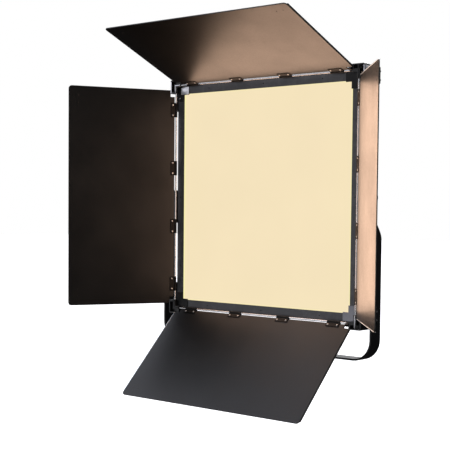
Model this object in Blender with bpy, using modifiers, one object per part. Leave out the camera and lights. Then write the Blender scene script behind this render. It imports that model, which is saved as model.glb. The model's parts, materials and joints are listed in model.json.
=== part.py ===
"""A 600 mm LED panel light with four barn doors, tilting in a yoke on a stand spigot.

Row frame: metres, +Z up, the light faces -Y and +X is to the right of someone who looks at
the light. The origin is the centre of the spigot's lower end face. The head's own frame has
its origin at the centre of the glowing face; the name "reach" below means the distance from
that centre towards one side, so it is +Z for the top side and +X for the right side.
"""
import math

import bmesh
import bpy
from mathutils import Matrix, Vector

MM = 0.001
GAP = 0.3 * MM                      # clearance left between pieces that touch

# --- driving dimensions -------------------------------------------------------------------
APERTURE_W = 594 * MM               # glowing area
APERTURE_H = 600 * MM
BEZEL = 24 * MM                     # width of the front frame around it
BEZEL_FRONT = -4 * MM               # head frame Y of the front face
HEAD_BACK = 46 * MM                 # head frame Y where the back panel starts
WALL = 3 * MM                       # thickness of the frame rails

ROD_OFFSET = 24.5 * MM              # barn door rods, outward from the aperture's edges
ROD_Y = -12 * MM
ROD_R = 2.4 * MM
ROD_VISIBLE = 302 * MM              # half the bare length between the corner brackets

LEAF_LENGTH = 622 * MM
LEAF_DEPTH = 320 * MM               # from the rod's axis to the outer edge
LEAF_SHEET = 1.2 * MM
EDGE_RETURN = 3 * MM                # folded edges: along the hinge and the free edge
SIDE_RETURN = 6 * MM                # and at both sides
LEAF_START = 4.3 * MM               # hinge edge, from the rod's axis
LEAF_NOTCH = (19 * MM, 13 * MM)     # cut from both hinge corners: along, deep
LEAF_CORNER = 9 * MM

ARM_X = 363 * MM                    # inner face of the yoke's arms
STRIP = 5 * MM                      # yoke strip thickness
STRIP_FRONT = -10 * MM              # head frame Y of the strip's edges
STRIP_BACK = 33 * MM
BAR_TOP = -416 * MM                 # head frame Z of the bottom bar's upper face
BEND_R = 50 * MM                    # inner bend radius
PIVOT_Y = -5 * MM                   # tilt axis, head frame Y (its Z is 0)
ARM_END_R = 18 * MM
BOLT_R = 5 * MM

SPIGOT_R = 14 * MM                  # 28 mm junior spigot
SPIGOT_LENGTH = 110 * MM            # including its flange

STRIP_MIDDLE = (STRIP_FRONT + STRIP_BACK) / 2
HEAD_ORIGIN = Vector((0, -STRIP_MIDDLE, SPIGOT_LENGTH + STRIP - BAR_TOP))
PIVOT = HEAD_ORIGIN + Vector((0, PIVOT_Y, 0))

# Each side of the head: turn about Y from the top side, leaf angle at rest outward from
# straight ahead (degrees), half aperture towards the side and half aperture along it.
SIDES = {
    "top": (0, 23.2, APERTURE_H / 2, APERTURE_W / 2),
    "right": (90, 42.1, APERTURE_W / 2, APERTURE_H / 2),
    "bottom": (180, 45.5, APERTURE_H / 2, APERTURE_W / 2),
    "left": (270, 26.8, APERTURE_W / 2, APERTURE_H / 2),
}
CLIP_PLACES = {"a": -254 * MM, "b": -85 * MM, "c": 85 * MM, "d": 254 * MM}
CORNERS = {
    "top_right": (1, 1),
    "top_left": (-1, 1),
    "bottom_right": (1, -1),
    "bottom_left": (-1, -1),
}

BLACK = (0.012, 0.012, 0.013)
DARK_GREY = (0.045, 0.046, 0.052)
GREY = (0.20, 0.20, 0.215)
SILVER = (0.72, 0.72, 0.73)
CREAM = (0.93, 0.80, 0.52)
AMBER = (0.95, 0.68, 0.12)
GLASS_BLACK = (0.01, 0.012, 0.016)


# --- scene, collections and materials -----------------------------------------------------
def clear_scene():
    for old in list(bpy.data.objects):
        bpy.data.objects.remove(old, do_unlink=True)


def new_collection(name):
    collection = bpy.data.collections.new(name)
    bpy.context.scene.collection.children.link(collection)
    return collection


def new_empty(name, matrix, parent=None):
    empty = bpy.data.objects.new(name, None)
    empty.empty_display_size = 0.05
    PARTS.objects.link(empty)
    empty.parent = parent
    empty.matrix_local = matrix
    return empty


def new_material(name, colour, metallic, roughness):
    material = bpy.data.materials.new(name)
    material.use_nodes = True
    shader = material.node_tree.nodes["Principled BSDF"]
    shader.inputs["Base Color"].default_value = (*colour, 1)
    shader.inputs["Metallic"].default_value = metallic
    shader.inputs["Roughness"].default_value = roughness
    material.diffuse_color = (*colour, 1)
    return material


def new_part(name, mesh, parent, matrix=Matrix(), colour=BLACK, metallic=0.0, roughness=0.45):
    """One named piece: its mesh, its place under its parent and its own material."""
    mesh.name = name
    mesh.materials.clear()
    mesh.materials.append(new_material(name, colour, metallic, roughness))
    mesh.shade_smooth()
    mesh.set_sharp_from_angle(angle=math.radians(30))
    part = bpy.data.objects.new(name, mesh)
    PARTS.objects.link(part)
    part.parent = parent
    part.matrix_local = matrix
    return part


def combine(part, mesh, operation, matrix=None):
    """Boolean the part with a mesh placed in the part's own frame (or at a matrix in it)."""
    tool = bpy.data.objects.new(part.name + "_" + operation.lower(), mesh)
    CUTTERS.objects.link(tool)
    tool.parent = part
    tool.matrix_local = matrix or Matrix()
    tool.hide_render = True
    tool.display_type = 'WIRE'
    boolean = part.modifiers.new(operation.title(), 'BOOLEAN')
    boolean.operation = operation
    boolean.solver = 'EXACT'
    boolean.object = tool
    return part


def bevel(part, width, segments=1):
    modifier = part.modifiers.new("Bevel", 'BEVEL')
    modifier.width = width
    modifier.segments = segments
    modifier.limit_method = 'ANGLE'
    modifier.angle_limit = math.radians(40)
    return part


# --- meshes -------------------------------------------------------------------------------
def extruded(loops, low, high):
    """A flat shape from closed outlines (later ones are holes), thick from Z low to high."""
    curve = bpy.data.curves.new("outline", 'CURVE')
    curve.dimensions = '2D'
    curve.fill_mode = 'BOTH'
    curve.extrude = (high - low) / 2
    for loop in loops:
        spline = curve.splines.new('POLY')
        spline.points.add(len(loop) - 1)
        for point, (x, y) in zip(spline.points, loop):
            point.co = (x, y, 0, 1)
        spline.use_cyclic_u = True
    shape = bpy.data.objects.new("outline", curve)
    PARTS.objects.link(shape)
    evaluated = shape.evaluated_get(bpy.context.evaluated_depsgraph_get())
    mesh = bpy.data.meshes.new_from_object(evaluated)
    bpy.data.objects.remove(shape)
    edited = bmesh.new()
    edited.from_mesh(mesh)
    bmesh.ops.remove_doubles(edited, verts=edited.verts, dist=0.00001)
    bmesh.ops.translate(edited, verts=edited.verts, vec=(0, 0, (low + high) / 2))
    bmesh.ops.recalc_face_normals(edited, faces=edited.faces)
    edited.to_mesh(mesh)
    edited.free()
    return mesh


def block(low, high):
    """A box between two corners."""
    low, high = Vector(low), Vector(high)
    mesh = bpy.data.meshes.new("block")
    edited = bmesh.new()
    bmesh.ops.create_cube(edited, size=1)
    bmesh.ops.scale(edited, verts=edited.verts, vec=high - low)
    bmesh.ops.translate(edited, verts=edited.verts, vec=(low + high) / 2)
    edited.to_mesh(mesh)
    edited.free()
    return mesh


def cylinder(radius, start, end, sides=24, end_radius=None):
    """A round bar or cone along local Z."""
    mesh = bpy.data.meshes.new("cylinder")
    edited = bmesh.new()
    bmesh.ops.create_cone(edited, cap_ends=True, segments=sides, radius1=radius,
                          radius2=radius if end_radius is None else end_radius,
                          depth=end - start)
    bmesh.ops.translate(edited, verts=edited.verts, vec=(0, 0, (start + end) / 2))
    edited.to_mesh(mesh)
    edited.free()
    return mesh


def arc(centre, radius, start, end, steps):
    """Points on a circle from one angle to another, in degrees."""
    angles = [math.radians(start + (end - start) * i / steps) for i in range(steps + 1)]
    return [(centre[0] + radius * math.cos(a), centre[1] + radius * math.sin(a)) for a in angles]


def circle(centre, radius, sides=16):
    return arc(centre, radius, 0, 360, sides)[:-1]


def rounded(corners, radius, steps=4, sharp=()):
    """An outline whose corners are rounded, apart from the ones listed by number."""
    points = []
    for i, corner in enumerate(corners):
        corner = Vector(corner)
        if i in sharp:
            points.append(tuple(corner))
            continue
        before = (Vector(corners[i - 1]) - corner).normalized()
        after = (Vector(corners[(i + 1) % len(corners)]) - corner).normalized()
        half = before.angle(after) / 2
        centre = corner + (before + after).normalized() * radius / math.sin(half)
        start = corner + before * radius / math.tan(half) - centre
        turn = start.angle_signed(corner + after * radius / math.tan(half) - centre)
        for step in range(steps + 1):
            angle = -turn * step / steps
            points.append(tuple(centre + Matrix.Rotation(angle, 2) @ start))
    return points


def hollowed(mesh, wall, floor):
    """Sink the upper face of a plate that starts at Z 0, leaving a wall around a floor."""
    edited = bmesh.new()
    edited.from_mesh(mesh)
    top = [face for face in edited.faces if face.normal.z > 0.9]
    height = top[0].verts[0].co.z
    bmesh.ops.inset_region(edited, faces=top, thickness=wall, use_even_offset=True)
    sunk = list({vertex for face in top for vertex in face.verts})
    bmesh.ops.translate(edited, verts=sunk, vec=(0, 0, floor - height))
    edited.to_mesh(mesh)
    edited.free()
    return mesh


def rectangle(x, y, half_w, half_h):
    return [(x - half_w, y - half_h), (x + half_w, y - half_h),
            (x + half_w, y + half_h), (x - half_w, y + half_h)]


def axes(x, y, z):
    """The rotation that sends local X, Y and Z to the three given directions."""
    return Matrix((x, y, z)).transposed().to_4x4()


ALONG_X = axes((0, 1, 0), (0, 0, 1), (1, 0, 0))     # outline in YZ, thickness along +X
ALONG_Y = axes((0, 0, 1), (1, 0, 0), (0, 1, 0))     # outline in ZX, thickness along +Y
ALONG_Y_XZ = axes((-1, 0, 0), (0, 0, 1), (0, 1, 0))  # outline in (-X)Z, seen from behind


def side_turn(side):
    return Matrix.Rotation(math.radians(SIDES[side][0]), 4, 'Y')


# --- yoke ---------------------------------------------------------------------------------
def yoke_strip_outline():
    """The bent strip from the front, in the head frame's XZ plane."""
    top = 40 * MM
    outer_r = BEND_R + STRIP
    centre_x = ARM_X - BEND_R
    centre_z = BAR_TOP + BEND_R
    outer = [(ARM_X + STRIP, top)] + arc((centre_x, centre_z), outer_r, 0, -90, 8)
    inner = [(ARM_X, top)] + arc((centre_x, centre_z), BEND_R, 0, -90, 8)
    mirrored_outer = [(-x, z) for x, z in reversed(outer)]
    mirrored_inner = [(-x, z) for x, z in inner]
    return outer + mirrored_outer + mirrored_inner + inner[::-1]


def arm_side_outline():
    """The arm from the side, in the head frame's YZ plane: wide strip, neck, round end."""
    taper_start = -98 * MM
    neck_bottom = -51 * MM
    neck_back = -1 * MM
    neck_front = -21 * MM
    bottom = BAR_TOP - 2 * STRIP
    back = rounded([(STRIP_BACK, bottom), (STRIP_BACK, taper_start), (neck_back, neck_bottom)],
                   40 * MM, 3, sharp=(0, 2))
    front = [(neck_front, neck_bottom), (STRIP_FRONT, taper_start), (STRIP_FRONT, bottom)]
    start = math.degrees(math.asin((neck_back - PIVOT_Y) / ARM_END_R)) - 90
    end = 270 - math.degrees(math.asin((PIVOT_Y - neck_front) / ARM_END_R))
    head = arc((PIVOT_Y, 0), ARM_END_R, start, end, 18)
    return back + head + front


def build_yoke():
    """One bent strip, trimmed to the arms' side outline and drilled for the pivot bolts."""
    frame = Matrix.Translation(HEAD_ORIGIN)
    strip = extruded([yoke_strip_outline()], STRIP_FRONT, STRIP_BACK)
    strip.transform(axes((1, 0, 0), (0, 0, 1), (0, -1, 0)))
    strip.transform(Matrix.Translation((0, STRIP_FRONT + STRIP_BACK, 0)))
    yoke = new_part("yoke", strip, None, frame, BLACK, 0.3, 0.4)
    reach = ARM_X + 2 * STRIP
    side = extruded([arm_side_outline()], -reach, reach)
    side.transform(ALONG_X)
    combine(yoke, side, 'INTERSECT')
    hole = cylinder(BOLT_R + GAP, -reach, reach)
    combine(yoke, hole, 'DIFFERENCE', Matrix.Translation((0, PIVOT_Y, 0)) @ ALONG_X)


def build_spigot():
    """A solid junior spigot: flange, shank, locking groove and a chamfered lower end."""
    flange_r = 22 * MM
    flange = 8 * MM
    chamfer = 2 * MM
    groove = (70 * MM, 82 * MM)
    groove_r = SPIGOT_R - 2.5 * MM
    profile = [
        (0, SPIGOT_LENGTH - GAP), (flange_r, SPIGOT_LENGTH - GAP),
        (flange_r, SPIGOT_LENGTH - flange), (SPIGOT_R, SPIGOT_LENGTH - flange),
        (SPIGOT_R, groove[1]), (groove_r, groove[1] - chamfer),
        (groove_r, groove[0] + chamfer), (SPIGOT_R, groove[0]),
        (SPIGOT_R, chamfer), (SPIGOT_R - chamfer, 0), (0, 0),
    ]
    new_part("spigot", turned(profile, 32), None, Matrix(), SILVER, 1.0, 0.3)


def turned(profile, sides):
    """A closed solid turned about local Z from (radius, height) points, top to bottom."""
    edited = bmesh.new()
    points = [edited.verts.new((radius, 0, height)) for radius, height in profile]
    edges = [edited.edges.new(pair) for pair in zip(points, points[1:])]
    bmesh.ops.spin(edited, geom=points + edges, cent=(0, 0, 0), axis=(0, 0, 1),
                   angle=2 * math.pi, steps=sides, use_merge=True)
    bmesh.ops.remove_doubles(edited, verts=edited.verts, dist=0.00001)
    bmesh.ops.recalc_face_normals(edited, faces=edited.faces)
    mesh = bpy.data.meshes.new("turned")
    edited.to_mesh(mesh)
    edited.free()
    return mesh


# --- tilt pivots --------------------------------------------------------------------------
FRAME_X = APERTURE_W / 2 + BEZEL    # outer faces of the side rails
FRAME_Z = APERTURE_H / 2 + BEZEL
BLOCK_OUT = 346 * MM                # outer face of the pivot blocks
BLOCK_FRONT = -7 * MM
BLOCK_LOW = -75 * MM
BLOCK_HIGH = 20 * MM
BOSS_OUT = ARM_X - 3 * MM
BOSS_START = BLOCK_OUT - 5 * MM     # sunk in the block, clear of the open side leaves
BOSS_R = 12 * MM
WASHER_R = 16 * MM
BOLT_START = BOSS_OUT - 9 * MM      # inner end of the bolts, in the boss
SHANK = 16 * MM                     # of the left bolt, beyond the arm


def pivot_axis(side):
    """On the tilt axis in the head's frame: local Z points outward through that side's arm."""
    turn = Matrix.Rotation(0 if side == "right" else math.pi, 4, 'Z')
    return Matrix.Translation((0, PIVOT_Y, 0)) @ turn @ ALONG_X


def build_pivot_block(side, head):
    """A block screwed to the frame's side, with a boss that the pivot bolt screws into."""
    sign = 1 if side == "right" else -1
    near, far = sorted((sign * (FRAME_X + GAP), sign * BLOCK_OUT))
    shape = block((near, BLOCK_FRONT, BLOCK_LOW), (far, STRIP_BACK, BLOCK_HIGH))
    part = new_part("pivot_block_" + side, shape, head, Matrix(), BLACK, 0.2, 0.45)
    boss = cylinder(BOSS_R, BOSS_START, BOSS_OUT)
    combine(part, boss, 'UNION', pivot_axis(side))
    hole = cylinder(BOLT_R + GAP, BOLT_START - 1 * MM, BOSS_OUT + 5 * MM)
    combine(part, hole, 'DIFFERENCE', pivot_axis(side))


def build_friction_washer(side):
    ring = [circle((0, 0), WASHER_R, 24), circle((0, 0), BOLT_R + GAP, 24)]
    place = Matrix.Translation(HEAD_ORIGIN) @ pivot_axis(side)
    new_part("friction_washer_" + side, extruded(ring, BOSS_OUT + GAP, ARM_X - GAP), None,
             place, DARK_GREY, 0.0, 0.8)


def build_pivot_bolt(side, head):
    """The right bolt ends in a low cap, the left one in the shank that the knob turns on."""
    face = ARM_X + STRIP + GAP
    cap_r, cap, chamfer = 12 * MM, 5 * MM, 2 * MM
    if side == "right":
        end = [(0, face + cap), (cap_r - chamfer, face + cap), (cap_r, face + cap - chamfer),
               (cap_r, face), (BOLT_R, face)]
    else:
        end = [(0, face + SHANK), (BOLT_R, face + SHANK)]
    profile = end + [(BOLT_R, BOLT_START), (0, BOLT_START)]
    new_part("pivot_bolt_" + side, turned(profile, 24), head, pivot_axis(side), SILVER, 1.0, 0.35)


def build_tilt_knob(head):
    """A six-lobed clamping knob on the left bolt."""
    lobes = 6
    mean_r = 20 * MM
    wave = 2 * MM
    outline = []
    for i in range(lobes * 6):
        angle = 2 * math.pi * i / (lobes * 6)
        radius = mean_r + wave * math.cos(lobes * angle)
        outline.append((radius * math.cos(angle), radius * math.sin(angle)))
    start = ARM_X + STRIP + GAP
    knob = new_part("tilt_knob", extruded([outline], start, start + 24 * MM), head,
                    pivot_axis("left"), BLACK, 0.0, 0.5)
    bevel(knob, 1.5 * MM)
    hole = cylinder(BOLT_R + GAP, start - 5 * MM, start + SHANK + 1 * MM)
    combine(knob, hole, 'DIFFERENCE')


# --- head: frame, light engine and back ---------------------------------------------------
def rail_profile(half_aperture):
    """Cross-section of a frame rail, (reach, depth): front lip, outer wall and back lip."""
    inner = half_aperture
    outer = half_aperture + BEZEL
    return [
        (inner, BEZEL_FRONT), (outer, BEZEL_FRONT), (outer, HEAD_BACK),
        (outer - 12 * MM, HEAD_BACK), (outer - 12 * MM, HEAD_BACK - WALL),
        (outer - WALL, HEAD_BACK - WALL), (outer - WALL, BEZEL_FRONT + WALL),
        (inner, BEZEL_FRONT + WALL),
    ]


def build_rails(head):
    """Four mitred rails; each end vertex is moved along the rail onto the mitre plane."""
    for side, (_, _, half, half_along) in SIDES.items():
        mesh = extruded([rail_profile(half)], -0.1, 0.1)
        mesh.transform(axes((0, 0, 1), (0, 1, 0), (-1, 0, 0)))
        for vertex in mesh.vertices:
            mitre = half_along + (vertex.co.z - half) - GAP / 2
            vertex.co.x = math.copysign(mitre, vertex.co.x)
        new_part("frame_rail_" + side, mesh, head, side_turn(side), DARK_GREY, 0.4, 0.4)


def build_corner_covers(head):
    """L-shaped covers on the front of the frame's corners."""
    lap = 3 * MM
    leg = 45 * MM
    setback = 3 * MM
    for corner, (sx, sz) in CORNERS.items():
        x_in, x_out = APERTURE_W / 2 - lap, FRAME_X - setback
        z_in, z_out = APERTURE_H / 2 - lap, FRAME_Z - setback
        x_end, z_end = x_out - leg + setback, z_out - leg + setback
        outline = [(x_end, z_in), (x_in, z_in), (x_in, z_end), (x_out, z_end),
                   (x_out, z_out), (x_end, z_out)]
        outline = [(sz * z, sx * x) for x, z in outline]
        mesh = extruded([outline], BEZEL_FRONT - 2 * MM, BEZEL_FRONT - GAP)
        bevel(new_part("corner_cover_" + corner, mesh, head, ALONG_Y, GREY, 0.0, 0.45), 0.5 * MM)


def build_corner_brackets(head):
    """L-shaped brackets round the corners, with a front groove, two rod sockets and tongues.

    The front of each bracket laps over the frame; a thin tongue runs on along each rail.
    """
    outer = 341 * MM
    end = ROD_VISIBLE
    front, back = ROD_Y - 4 * MM, 36 * MM
    lap, lap_back = 4 * MM, BEZEL_FRONT - 2.5 * MM
    tongue, tongue_end = 2.5 * MM, end - 52 * MM
    x_lap, z_lap = FRAME_X - lap, FRAME_Z - lap
    x_tongue, z_tongue = FRAME_X + GAP + tongue, FRAME_Z + GAP + tongue
    outline = rounded([(x_lap, tongue_end), (x_tongue, tongue_end), (x_tongue, end),
                       (outer, end), (outer, outer), (end, outer), (end, z_tongue),
                       (tongue_end, z_tongue), (tongue_end, z_lap), (x_lap, z_lap)],
                      4 * MM, 3, sharp=(0, 1, 2, 3, 5, 6, 7, 8, 9))
    in_part = ALONG_Y.inverted()
    frame_space = block((-FRAME_X - GAP, lap_back, -FRAME_Z - GAP),
                        (FRAME_X + GAP, HEAD_BACK, FRAME_Z + GAP))
    before_tongues = block((-outer, front - 5 * MM, -end), (outer, lap_back + 0.1 * MM, end))
    before_tongues_along = block((-end, front - 5 * MM, -outer), (end, lap_back + 0.1 * MM, outer))
    for corner, (sx, sz) in CORNERS.items():
        solid = [(sz * z, sx * x) for x, z in outline]
        part = new_part("corner_bracket_" + corner, extruded([solid], front, back), head,
                        ALONG_Y, BLACK, 0.2, 0.4)
        for cutter in (frame_space, before_tongues, before_tongues_along):
            combine(part, cutter.copy(), 'DIFFERENCE', in_part)
        combine(part, bracket_groove(sx, sz, end, outer, front), 'DIFFERENCE')
        for socket, place in bracket_sockets(sx, sz, end):
            combine(part, socket, 'DIFFERENCE', in_part @ place)


def bracket_groove(sx, sz, end, outer, front):
    """The L-shaped groove in a bracket's front, between its inner and outer wall."""
    wall = 3.5 * MM
    inner_wall = ROD_OFFSET + 4 * MM
    x_in, z_in = APERTURE_W / 2 + inner_wall, APERTURE_H / 2 + inner_wall
    out, start = outer - wall, end + 5 * MM
    groove = [(x_in, start), (out, start), (out, out), (start, out), (start, z_in), (x_in, z_in)]
    return extruded([[(sz * z, sx * x) for x, z in groove]], front - 5 * MM, front + 10 * MM)


def bracket_sockets(sx, sz, end):
    """Two holes for the ends of the rods, each with its place in the head's frame."""
    up = Matrix.Rotation(0 if sz > 0 else math.pi, 4, 'X')
    across = Matrix.Rotation(sx * math.pi / 2, 4, 'Y')
    for place, turn in (((sx * (APERTURE_W / 2 + ROD_OFFSET), ROD_Y, 0), up),
                        ((0, ROD_Y, sz * (APERTURE_H / 2 + ROD_OFFSET)), across)):
        hole = cylinder(ROD_R + GAP, end - 3 * MM, end + 7 * MM, 16)
        yield hole, Matrix.Translation(place) @ turn


def build_light_engine(head):
    """From the front: diffuser, light guide with an LED strip at each side, reflector."""
    front = BEZEL_FRONT + WALL + GAP
    inside_x, inside_z = FRAME_X - WALL - GAP, FRAME_Z - WALL - GAP
    guide = front + 3 * MM + GAP
    sheet = guide + 4 * MM + GAP
    strip_w = 4 * MM
    guide_x = inside_x - strip_w - 2 * GAP
    layers = (
        ("diffuser", inside_x, front, front + 3 * MM, CREAM, 0.6),
        ("light_guide", guide_x, guide, guide + 4 * MM, SILVER, 0.1),
        ("reflector", inside_x, sheet + 5 * MM, sheet + 6 * MM, SILVER, 0.5),
    )
    for name, half_x, low, high, colour, roughness in layers:
        new_part(name, block((-half_x, low, -inside_z), (half_x, high, inside_z)), head,
                 Matrix(), colour, 0.0, roughness)
    for side, sign in (("right", 1), ("left", -1)):
        near = inside_x - strip_w if sign > 0 else -inside_x
        new_part("led_strip_" + side,
                 block((near, guide, -inside_z), (near + strip_w, guide + 9 * MM, inside_z)),
                 head, Matrix(), AMBER, 0.0, 0.4)


def build_back_panel(head):
    """The sheet that closes the back, with two banks of cooling slots."""
    low = HEAD_BACK + GAP
    outline = rounded(rectangle(0, 0, FRAME_X - 4 * MM, FRAME_Z - 4 * MM), 8 * MM, 3)
    slots = [rectangle(x * 70 * MM, z * 200 * MM + row * 14 * MM, 28 * MM, 2.5 * MM)
             for x in (-2, -1, 0, 1, 2) for z in (-1, 1) for row in (-1, 0, 1)]
    mesh = extruded([outline] + slots, low, low + BACK_SHEET)
    new_part("back_panel", mesh, head, ALONG_Y_XZ, BLACK, 0.3, 0.45)


BOX_W, BOX_H, BOX_D = 260 * MM, 150 * MM, 38 * MM
BACK_SHEET = 1.5 * MM
BOX_FRONT = HEAD_BACK + GAP + BACK_SHEET + GAP
BOX_BACK = BOX_FRONT + BOX_D
WINDOW_W, WINDOW_H, WINDOW_Z = 70 * MM, 36 * MM, 36 * MM
WINDOW_RECESS = 2 * MM
DIAL_X, DIAL_Z = 42 * MM, -30 * MM
BUTTON_R = 6 * MM
SWITCH_X, SWITCH_Z = 100 * MM, 34 * MM
ROCKER_W, ROCKER_L = 14 * MM, 21 * MM


def on_box(x, z, lift=GAP):
    """A place on the control box's rear face: local Z points back out of the face."""
    return Matrix.Translation((x, BOX_BACK + lift, z)) @ ALONG_Y_XZ


def build_control_box(head):
    """The driver and control housing in the middle of the back."""
    outline = rounded(rectangle(0, 0, BOX_W / 2, BOX_H / 2), 8 * MM, 3)
    box = new_part("control_box", extruded([outline], BOX_FRONT, BOX_BACK), head, ALONG_Y_XZ,
                   DARK_GREY, 0.2, 0.45)
    bevel(box, 2 * MM)
    face = BOX_BACK + 2 * MM
    window = rectangle(0, WINDOW_Z, WINDOW_W / 2 + GAP, WINDOW_H / 2 + GAP)
    combine(box, extruded([window], BOX_BACK - WINDOW_RECESS, face), 'DIFFERENCE')
    rocker = rectangle(-SWITCH_X, SWITCH_Z, ROCKER_W / 2 + GAP, ROCKER_L / 2 + 2 * MM)
    combine(box, extruded([rocker], BOX_BACK - 7 * MM, face), 'DIFFERENCE')
    button = circle((0, DIAL_Z), BUTTON_R + GAP, 24)
    combine(box, extruded([button], BOX_BACK - 6 * MM, face), 'DIFFERENCE')


def build_controls(head):
    """The display, the two dials, the mode button and the sockets on the box's face."""
    window = extruded([rectangle(0, 0, WINDOW_W / 2, WINDOW_H / 2)], 0, 1.5 * MM)
    new_part("display_window", window, head, on_box(0, WINDOW_Z, GAP - WINDOW_RECESS),
             GLASS_BLACK, 0.0, 0.08)
    for name, x in (("dimmer_knob", DIAL_X), ("colour_knob", -DIAL_X)):
        build_dial(name, head, on_box(x, DIAL_Z))
    button = cylinder(BUTTON_R, -3.5 * MM, 3 * MM)
    bevel(new_part("mode_button", button, head, on_box(0, DIAL_Z, 0), GREY, 0, 0.5), 0.6 * MM)
    build_switch(head)
    build_inlet(head)
    for name, z in (("data_socket_in", 32 * MM), ("data_socket_out", -32 * MM)):
        build_data_socket(name, head, on_box(-SWITCH_X, z))


def build_dial(name, head, place):
    """A fluted turning knob with a bevelled rim."""
    flutes = 12
    outline = []
    for i in range(flutes * 2):
        radius = 13 * MM if i % 2 else 12 * MM
        angle = math.pi * i / flutes
        outline.append((radius * math.cos(angle), radius * math.sin(angle)))
    bevel(new_part(name, extruded([outline], 0, 15 * MM), head, place, BLACK, 0, 0.5), 1 * MM)


def build_switch(head):
    """A rocker switch on an axis in the box's face, resting with one end pressed in."""
    half = ROCKER_L / 2
    outline = [(-half, -1 * MM), (half, -1 * MM), (half, 5 * MM), (0, 3 * MM), (-half, 5 * MM)]
    rocker = extruded([outline], -ROCKER_W / 2, ROCKER_W / 2)
    rocker.transform(ALONG_X)
    place = on_box(SWITCH_X, SWITCH_Z, 0) @ Matrix.Rotation(math.radians(-8), 4, 'X')
    new_part("power_switch", rocker, head, place, BLACK, 0, 0.35)


def build_inlet(head):
    """The mains inlet: a shroud open to the back, where the cord's socket pushes in."""
    shroud = extruded([rounded(rectangle(0, 0, 17 * MM, 13 * MM), 3 * MM, 2)], 0, 16 * MM)
    inlet = new_part("power_inlet", shroud, head, on_box(SWITCH_X, DIAL_Z), BLACK, 0, 0.4)
    pocket = extruded([rectangle(0, 0, 12.5 * MM, 8.5 * MM)], 3 * MM, 20 * MM)
    combine(inlet, pocket, 'DIFFERENCE')


def build_data_socket(name, head, place):
    """A round data socket: a cup on a thin flange, open to the back."""
    profile = [(0, 2 * MM), (9 * MM, 2 * MM), (9 * MM, 13 * MM), (12 * MM, 13 * MM),
               (12 * MM, 2.5 * MM), (14 * MM, 2.5 * MM), (14 * MM, 0), (0, 0)]
    new_part(name, turned(profile, 24), head, place, SILVER, 1.0, 0.35)


# --- barn doors ---------------------------------------------------------------------------
def build_rods(head):
    for side, (_, _, half, _) in SIDES.items():
        rod = cylinder(ROD_R, -ROD_VISIBLE - 6 * MM, ROD_VISIBLE + 6 * MM, 16)
        rod.transform(Matrix.Rotation(math.pi / 2, 4, 'Y'))
        place = side_turn(side) @ Matrix.Translation((0, ROD_Y, half + ROD_OFFSET))
        new_part("rod_" + side, rod, head, place, SILVER, 1.0, 0.25)


def leaf_outline():
    """The leaf in its own frame: X along the hinge, Y away from it, centred on X."""
    half = LEAF_LENGTH / 2
    along, deep = LEAF_NOTCH
    shoulder = half - along
    corners = [
        (-shoulder, LEAF_START), (shoulder, LEAF_START), (shoulder, LEAF_START + deep),
        (half, LEAF_START + deep), (half, LEAF_DEPTH), (-half, LEAF_DEPTH),
        (-half, LEAF_START + deep), (-shoulder, LEAF_START + deep),
    ]
    return rounded(corners, LEAF_CORNER, 4, sharp=(0, 1, 2, 3, 6, 7))


def with_side_returns(mesh):
    """Raise the leaf's rim along its two sides, between the notch and the outer corner."""
    near, far = LEAF_START + LEAF_NOTCH[1] - GAP, LEAF_DEPTH - LEAF_CORNER + GAP
    side = LEAF_LENGTH / 2 - LEAF_SHEET - GAP
    edited = bmesh.new()
    edited.from_mesh(mesh)
    rim = [vertex for vertex in edited.verts if abs(vertex.co.z - EDGE_RETURN) < GAP]
    raised = [vertex for vertex in rim if abs(vertex.co.x) > side and near < vertex.co.y < far]
    for vertex in raised:
        vertex.co.z = SIDE_RETURN
    sloping = {face for vertex in raised for face in vertex.link_faces if len(face.verts) == 4}
    bmesh.ops.triangulate(edited, faces=list(sloping))
    edited.to_mesh(mesh)
    edited.free()
    return mesh


def clip_outline():
    """A hinge clip's section, (away from the rod, outward): a loop with a strap."""
    loop_r = 3.8 * MM
    strap_top, strap_low = -GAP, -1.5 * MM
    strap_end = 16 * MM
    start = math.degrees(math.asin(strap_top / loop_r))
    end = 360 + math.degrees(math.asin(strap_low / loop_r))
    return arc((0, 0), loop_r, start, end, 14) + [(strap_end, strap_low), (strap_end, strap_top)]


def build_leaves(head):
    """Four leaves, each a shallow tray folded from sheet, hung on its rod by four clips."""
    for side, (_, angle, half, _) in SIDES.items():
        tilt = math.radians(angle)
        leaf_axes = axes((-1, 0, 0), (0, -math.cos(tilt), math.sin(tilt)),
                         (0, math.sin(tilt), math.cos(tilt)))
        at_rod = Matrix.Translation((0, ROD_Y, half + ROD_OFFSET))
        hinge = new_empty("hinge_" + side, side_turn(side) @ at_rod @ leaf_axes, head)
        sheet = hollowed(extruded([leaf_outline()], 0, EDGE_RETURN), LEAF_SHEET, LEAF_SHEET)
        new_part("leaf_" + side, with_side_returns(sheet), hinge, Matrix(), BLACK, 0.0, 0.4)
        for letter, place in CLIP_PLACES.items():
            loops = [clip_outline(), circle((0, 0), ROD_R + 0.2 * MM, 14)]
            clip = extruded(loops, place - 21 * MM, place + 21 * MM)
            new_part("clip_" + side + "_" + letter, clip, hinge, ALONG_X, BLACK, 0.2, 0.4)


# --- the whole light ----------------------------------------------------------------------
clear_scene()
PARTS = new_collection("led_panel_light")
CUTTERS = new_collection("cutters")


def main():
    build_yoke()
    build_spigot()
    tilt_axis = new_empty("tilt_axis", Matrix.Translation(PIVOT))
    head = new_empty("head_centre", Matrix.Translation((0, -PIVOT_Y, 0)), tilt_axis)
    for side in ("right", "left"):
        build_pivot_block(side, head)
        build_pivot_bolt(side, head)
        build_friction_washer(side)
    build_tilt_knob(head)
    build_rails(head)
    build_corner_covers(head)
    build_corner_brackets(head)
    build_light_engine(head)
    build_back_panel(head)
    build_control_box(head)
    build_controls(head)
    build_rods(head)
    build_leaves(head)


main()
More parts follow.
